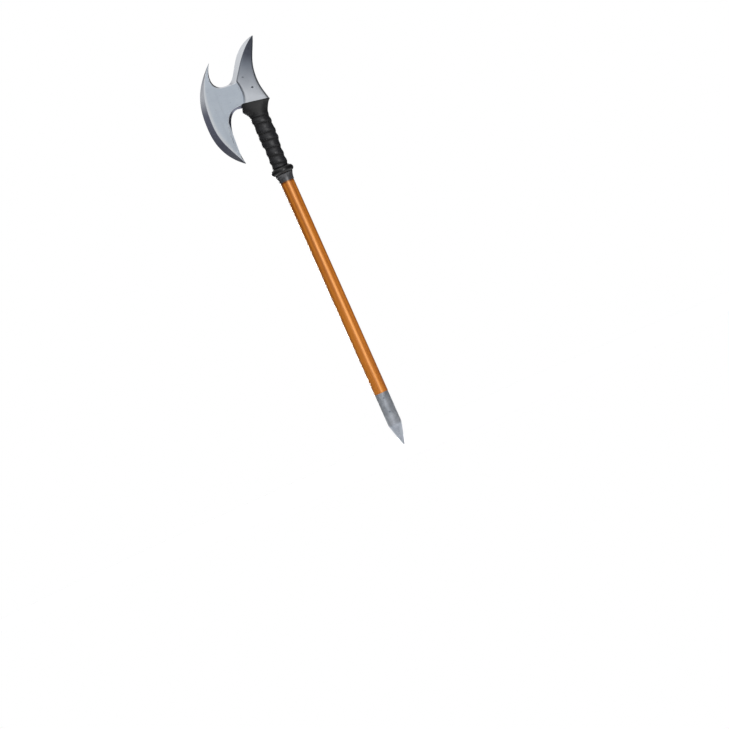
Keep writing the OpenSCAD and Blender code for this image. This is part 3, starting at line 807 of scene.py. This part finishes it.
# Painted highlight: below the bead the collar turns a lighter, half metallic grey.
skirt_highlight_share = collar_paint.between(collar_paint.axis("Z"), bead_foot * mm, (bead_foot - 3.0) * mm)
collar_tone = collar_paint.ramp(handled * 0.6 + orange_peel * 0.4,
                                (0.3, tint("0C0C0D")), (0.7, tint("151516")))
collar_paint.feed(
    Base_Color=collar_paint.mix(skirt_highlight_share * 0.85, collar_tone, tint("5A5A5C")),
    Roughness=0.30 + orange_peel * 0.08 + handled * 0.06, Metallic=skirt_highlight_share * 0.5,
    Normal=collar_paint.raised(orange_peel, 0.04 * mm, 0.25))
seat_bore = 13.65
wrap_bore = 12.25
seat_deep = 4.0
skirt_high = bead_foot - collar_foot
skirt_profile = [(seat_bore, 0), (14.85, 0), (15.0, 0.12)]
flare_steps = 24
skirt_profile += [(15.05 + 3.5 * (n / flare_steps) ** 2.1, 0.2 + (skirt_high - 1.0) * n / flare_steps)
                  for n in range(flare_steps + 1)]
skirt_profile += [(18.35, skirt_high - 0.35), (18.0, skirt_high), (seat_bore, skirt_high)]
skirt = turned("turned_skirt", [(r, collar_foot + h) for r, h in skirt_profile],
               collar_paint, "collar_metal", "collar_skirt")
bead_high = bead_head - bead_foot
bead_mid = bead_out - 0.5 * bead_high
bead_profile = [(seat_bore, 0), (17.9, 0), (18.1, 0.15)]
bead_profile += [(bead_mid + 0.5 * bead_high * math.cos(a), (0.45 + 0.47 * math.sin(a)) * bead_high)
                 for a in (math.radians(-64 + 4 * n) for n in range(38))]
bead_profile += [(16.9, bead_high - 0.05), (wrap_bore, bead_high),
                 (wrap_bore, seat_deep), (seat_bore, seat_deep)]
turned("turned_bead", [(r, bead_foot + h) for r, h in bead_profile],
       collar_paint, "collar_metal", "collar_bead")

# ---------------------------------------------------------------- collar screw
# A small slotted countersunk wood screw, blackened, in a drilled hole in the skirt, away from the eye.
def drill_out(piece, place, radius, depth):
    """Cuts a round hole along Y out of a piece. place is the bit's middle, all in millimetres."""
    made = bmesh.new()
    bmesh.ops.create_cone(made, cap_ends=True, segments=48, radius1=radius * mm, radius2=radius * mm,
                          depth=depth * mm,
                          matrix=Matrix.Translation(place * mm) @ Matrix.Rotation(math.pi / 2, 4, "X"))
    data = bpy.data.meshes.new("drill_bit")
    made.to_mesh(data)
    made.free()
    bit = bpy.data.objects.new("drill_bit", data)
    scene.collection.objects.link(bit)
    hole = piece.modifiers.new("drilled_hole", "BOOLEAN")
    hole.object = bit
    hole.solver = "EXACT"
    drilled = bpy.data.meshes.new_from_object(piece.evaluated_get(bpy.context.evaluated_depsgraph_get()))
    piece.modifiers.clear()
    piece.data = drilled
    bpy.data.objects.remove(bit)


screw_low, screw_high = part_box("collar_screw")
screw_mid = (screw_low + screw_high) / 2 / mm
screw_face = 15.95
head_r = 2.4
slot_half = 0.32
drill_out(skirt, Vector((screw_mid.x, screw_face + 1.2, screw_mid.z)), radius=head_r + 0.06, depth=4)
screw = bmesh.new()
for side in (-1, 1):
    arc = [math.radians(4 + 172 * n / 20) for n in range(21)]
    half_moon = [(head_r * math.cos(a), slot_half + (head_r - slot_half) * math.sin(a)) for a in arc]
    rings = [[Vector((screw_mid.x + x * k, screw_face + y, screw_mid.z + side * z * k)) * mm
              for x, z in half_moon] for k, y in ((0.72, -1.0), (0.97, -0.05), (1.0, 0.02), (0.94, 0.09))]
    rows = skin(screw, rings)
    screw.faces.new(rows[0])
    screw.faces.new(rows[-1])
shank_points = 24
shank = skin(screw, [[Vector((screw_mid.x + r * math.cos(a), screw_face + y,
                              screw_mid.z + r * math.sin(a))) * mm
                      for a in (math.tau * n / shank_points for n in range(shank_points))]
                     for r, y in ((2.2, -0.30), (1.9, -0.9), (1.25, -1.5), (1.25, -8.5), (0.3, -10.2))])
screw.faces.new(shank[0])
screw.faces.new(shank[-1])
settle("slotted_screw", screw, blacked_steel, "screw_steel", "collar_screw")

# ---------------------------------------------------------------- light groups
# The pieces that each group of lights falls on.
for name in ("wound_tape", "moulded_hood", "turned_skirt", "turned_bead", "slotted_screw"):
    handle.objects.link(bpy.data.objects[name])
timber.objects.link(nodes["shaft"])
timber.objects.link(table_top)
handle.objects.link(nodes["wrap_tacks"])
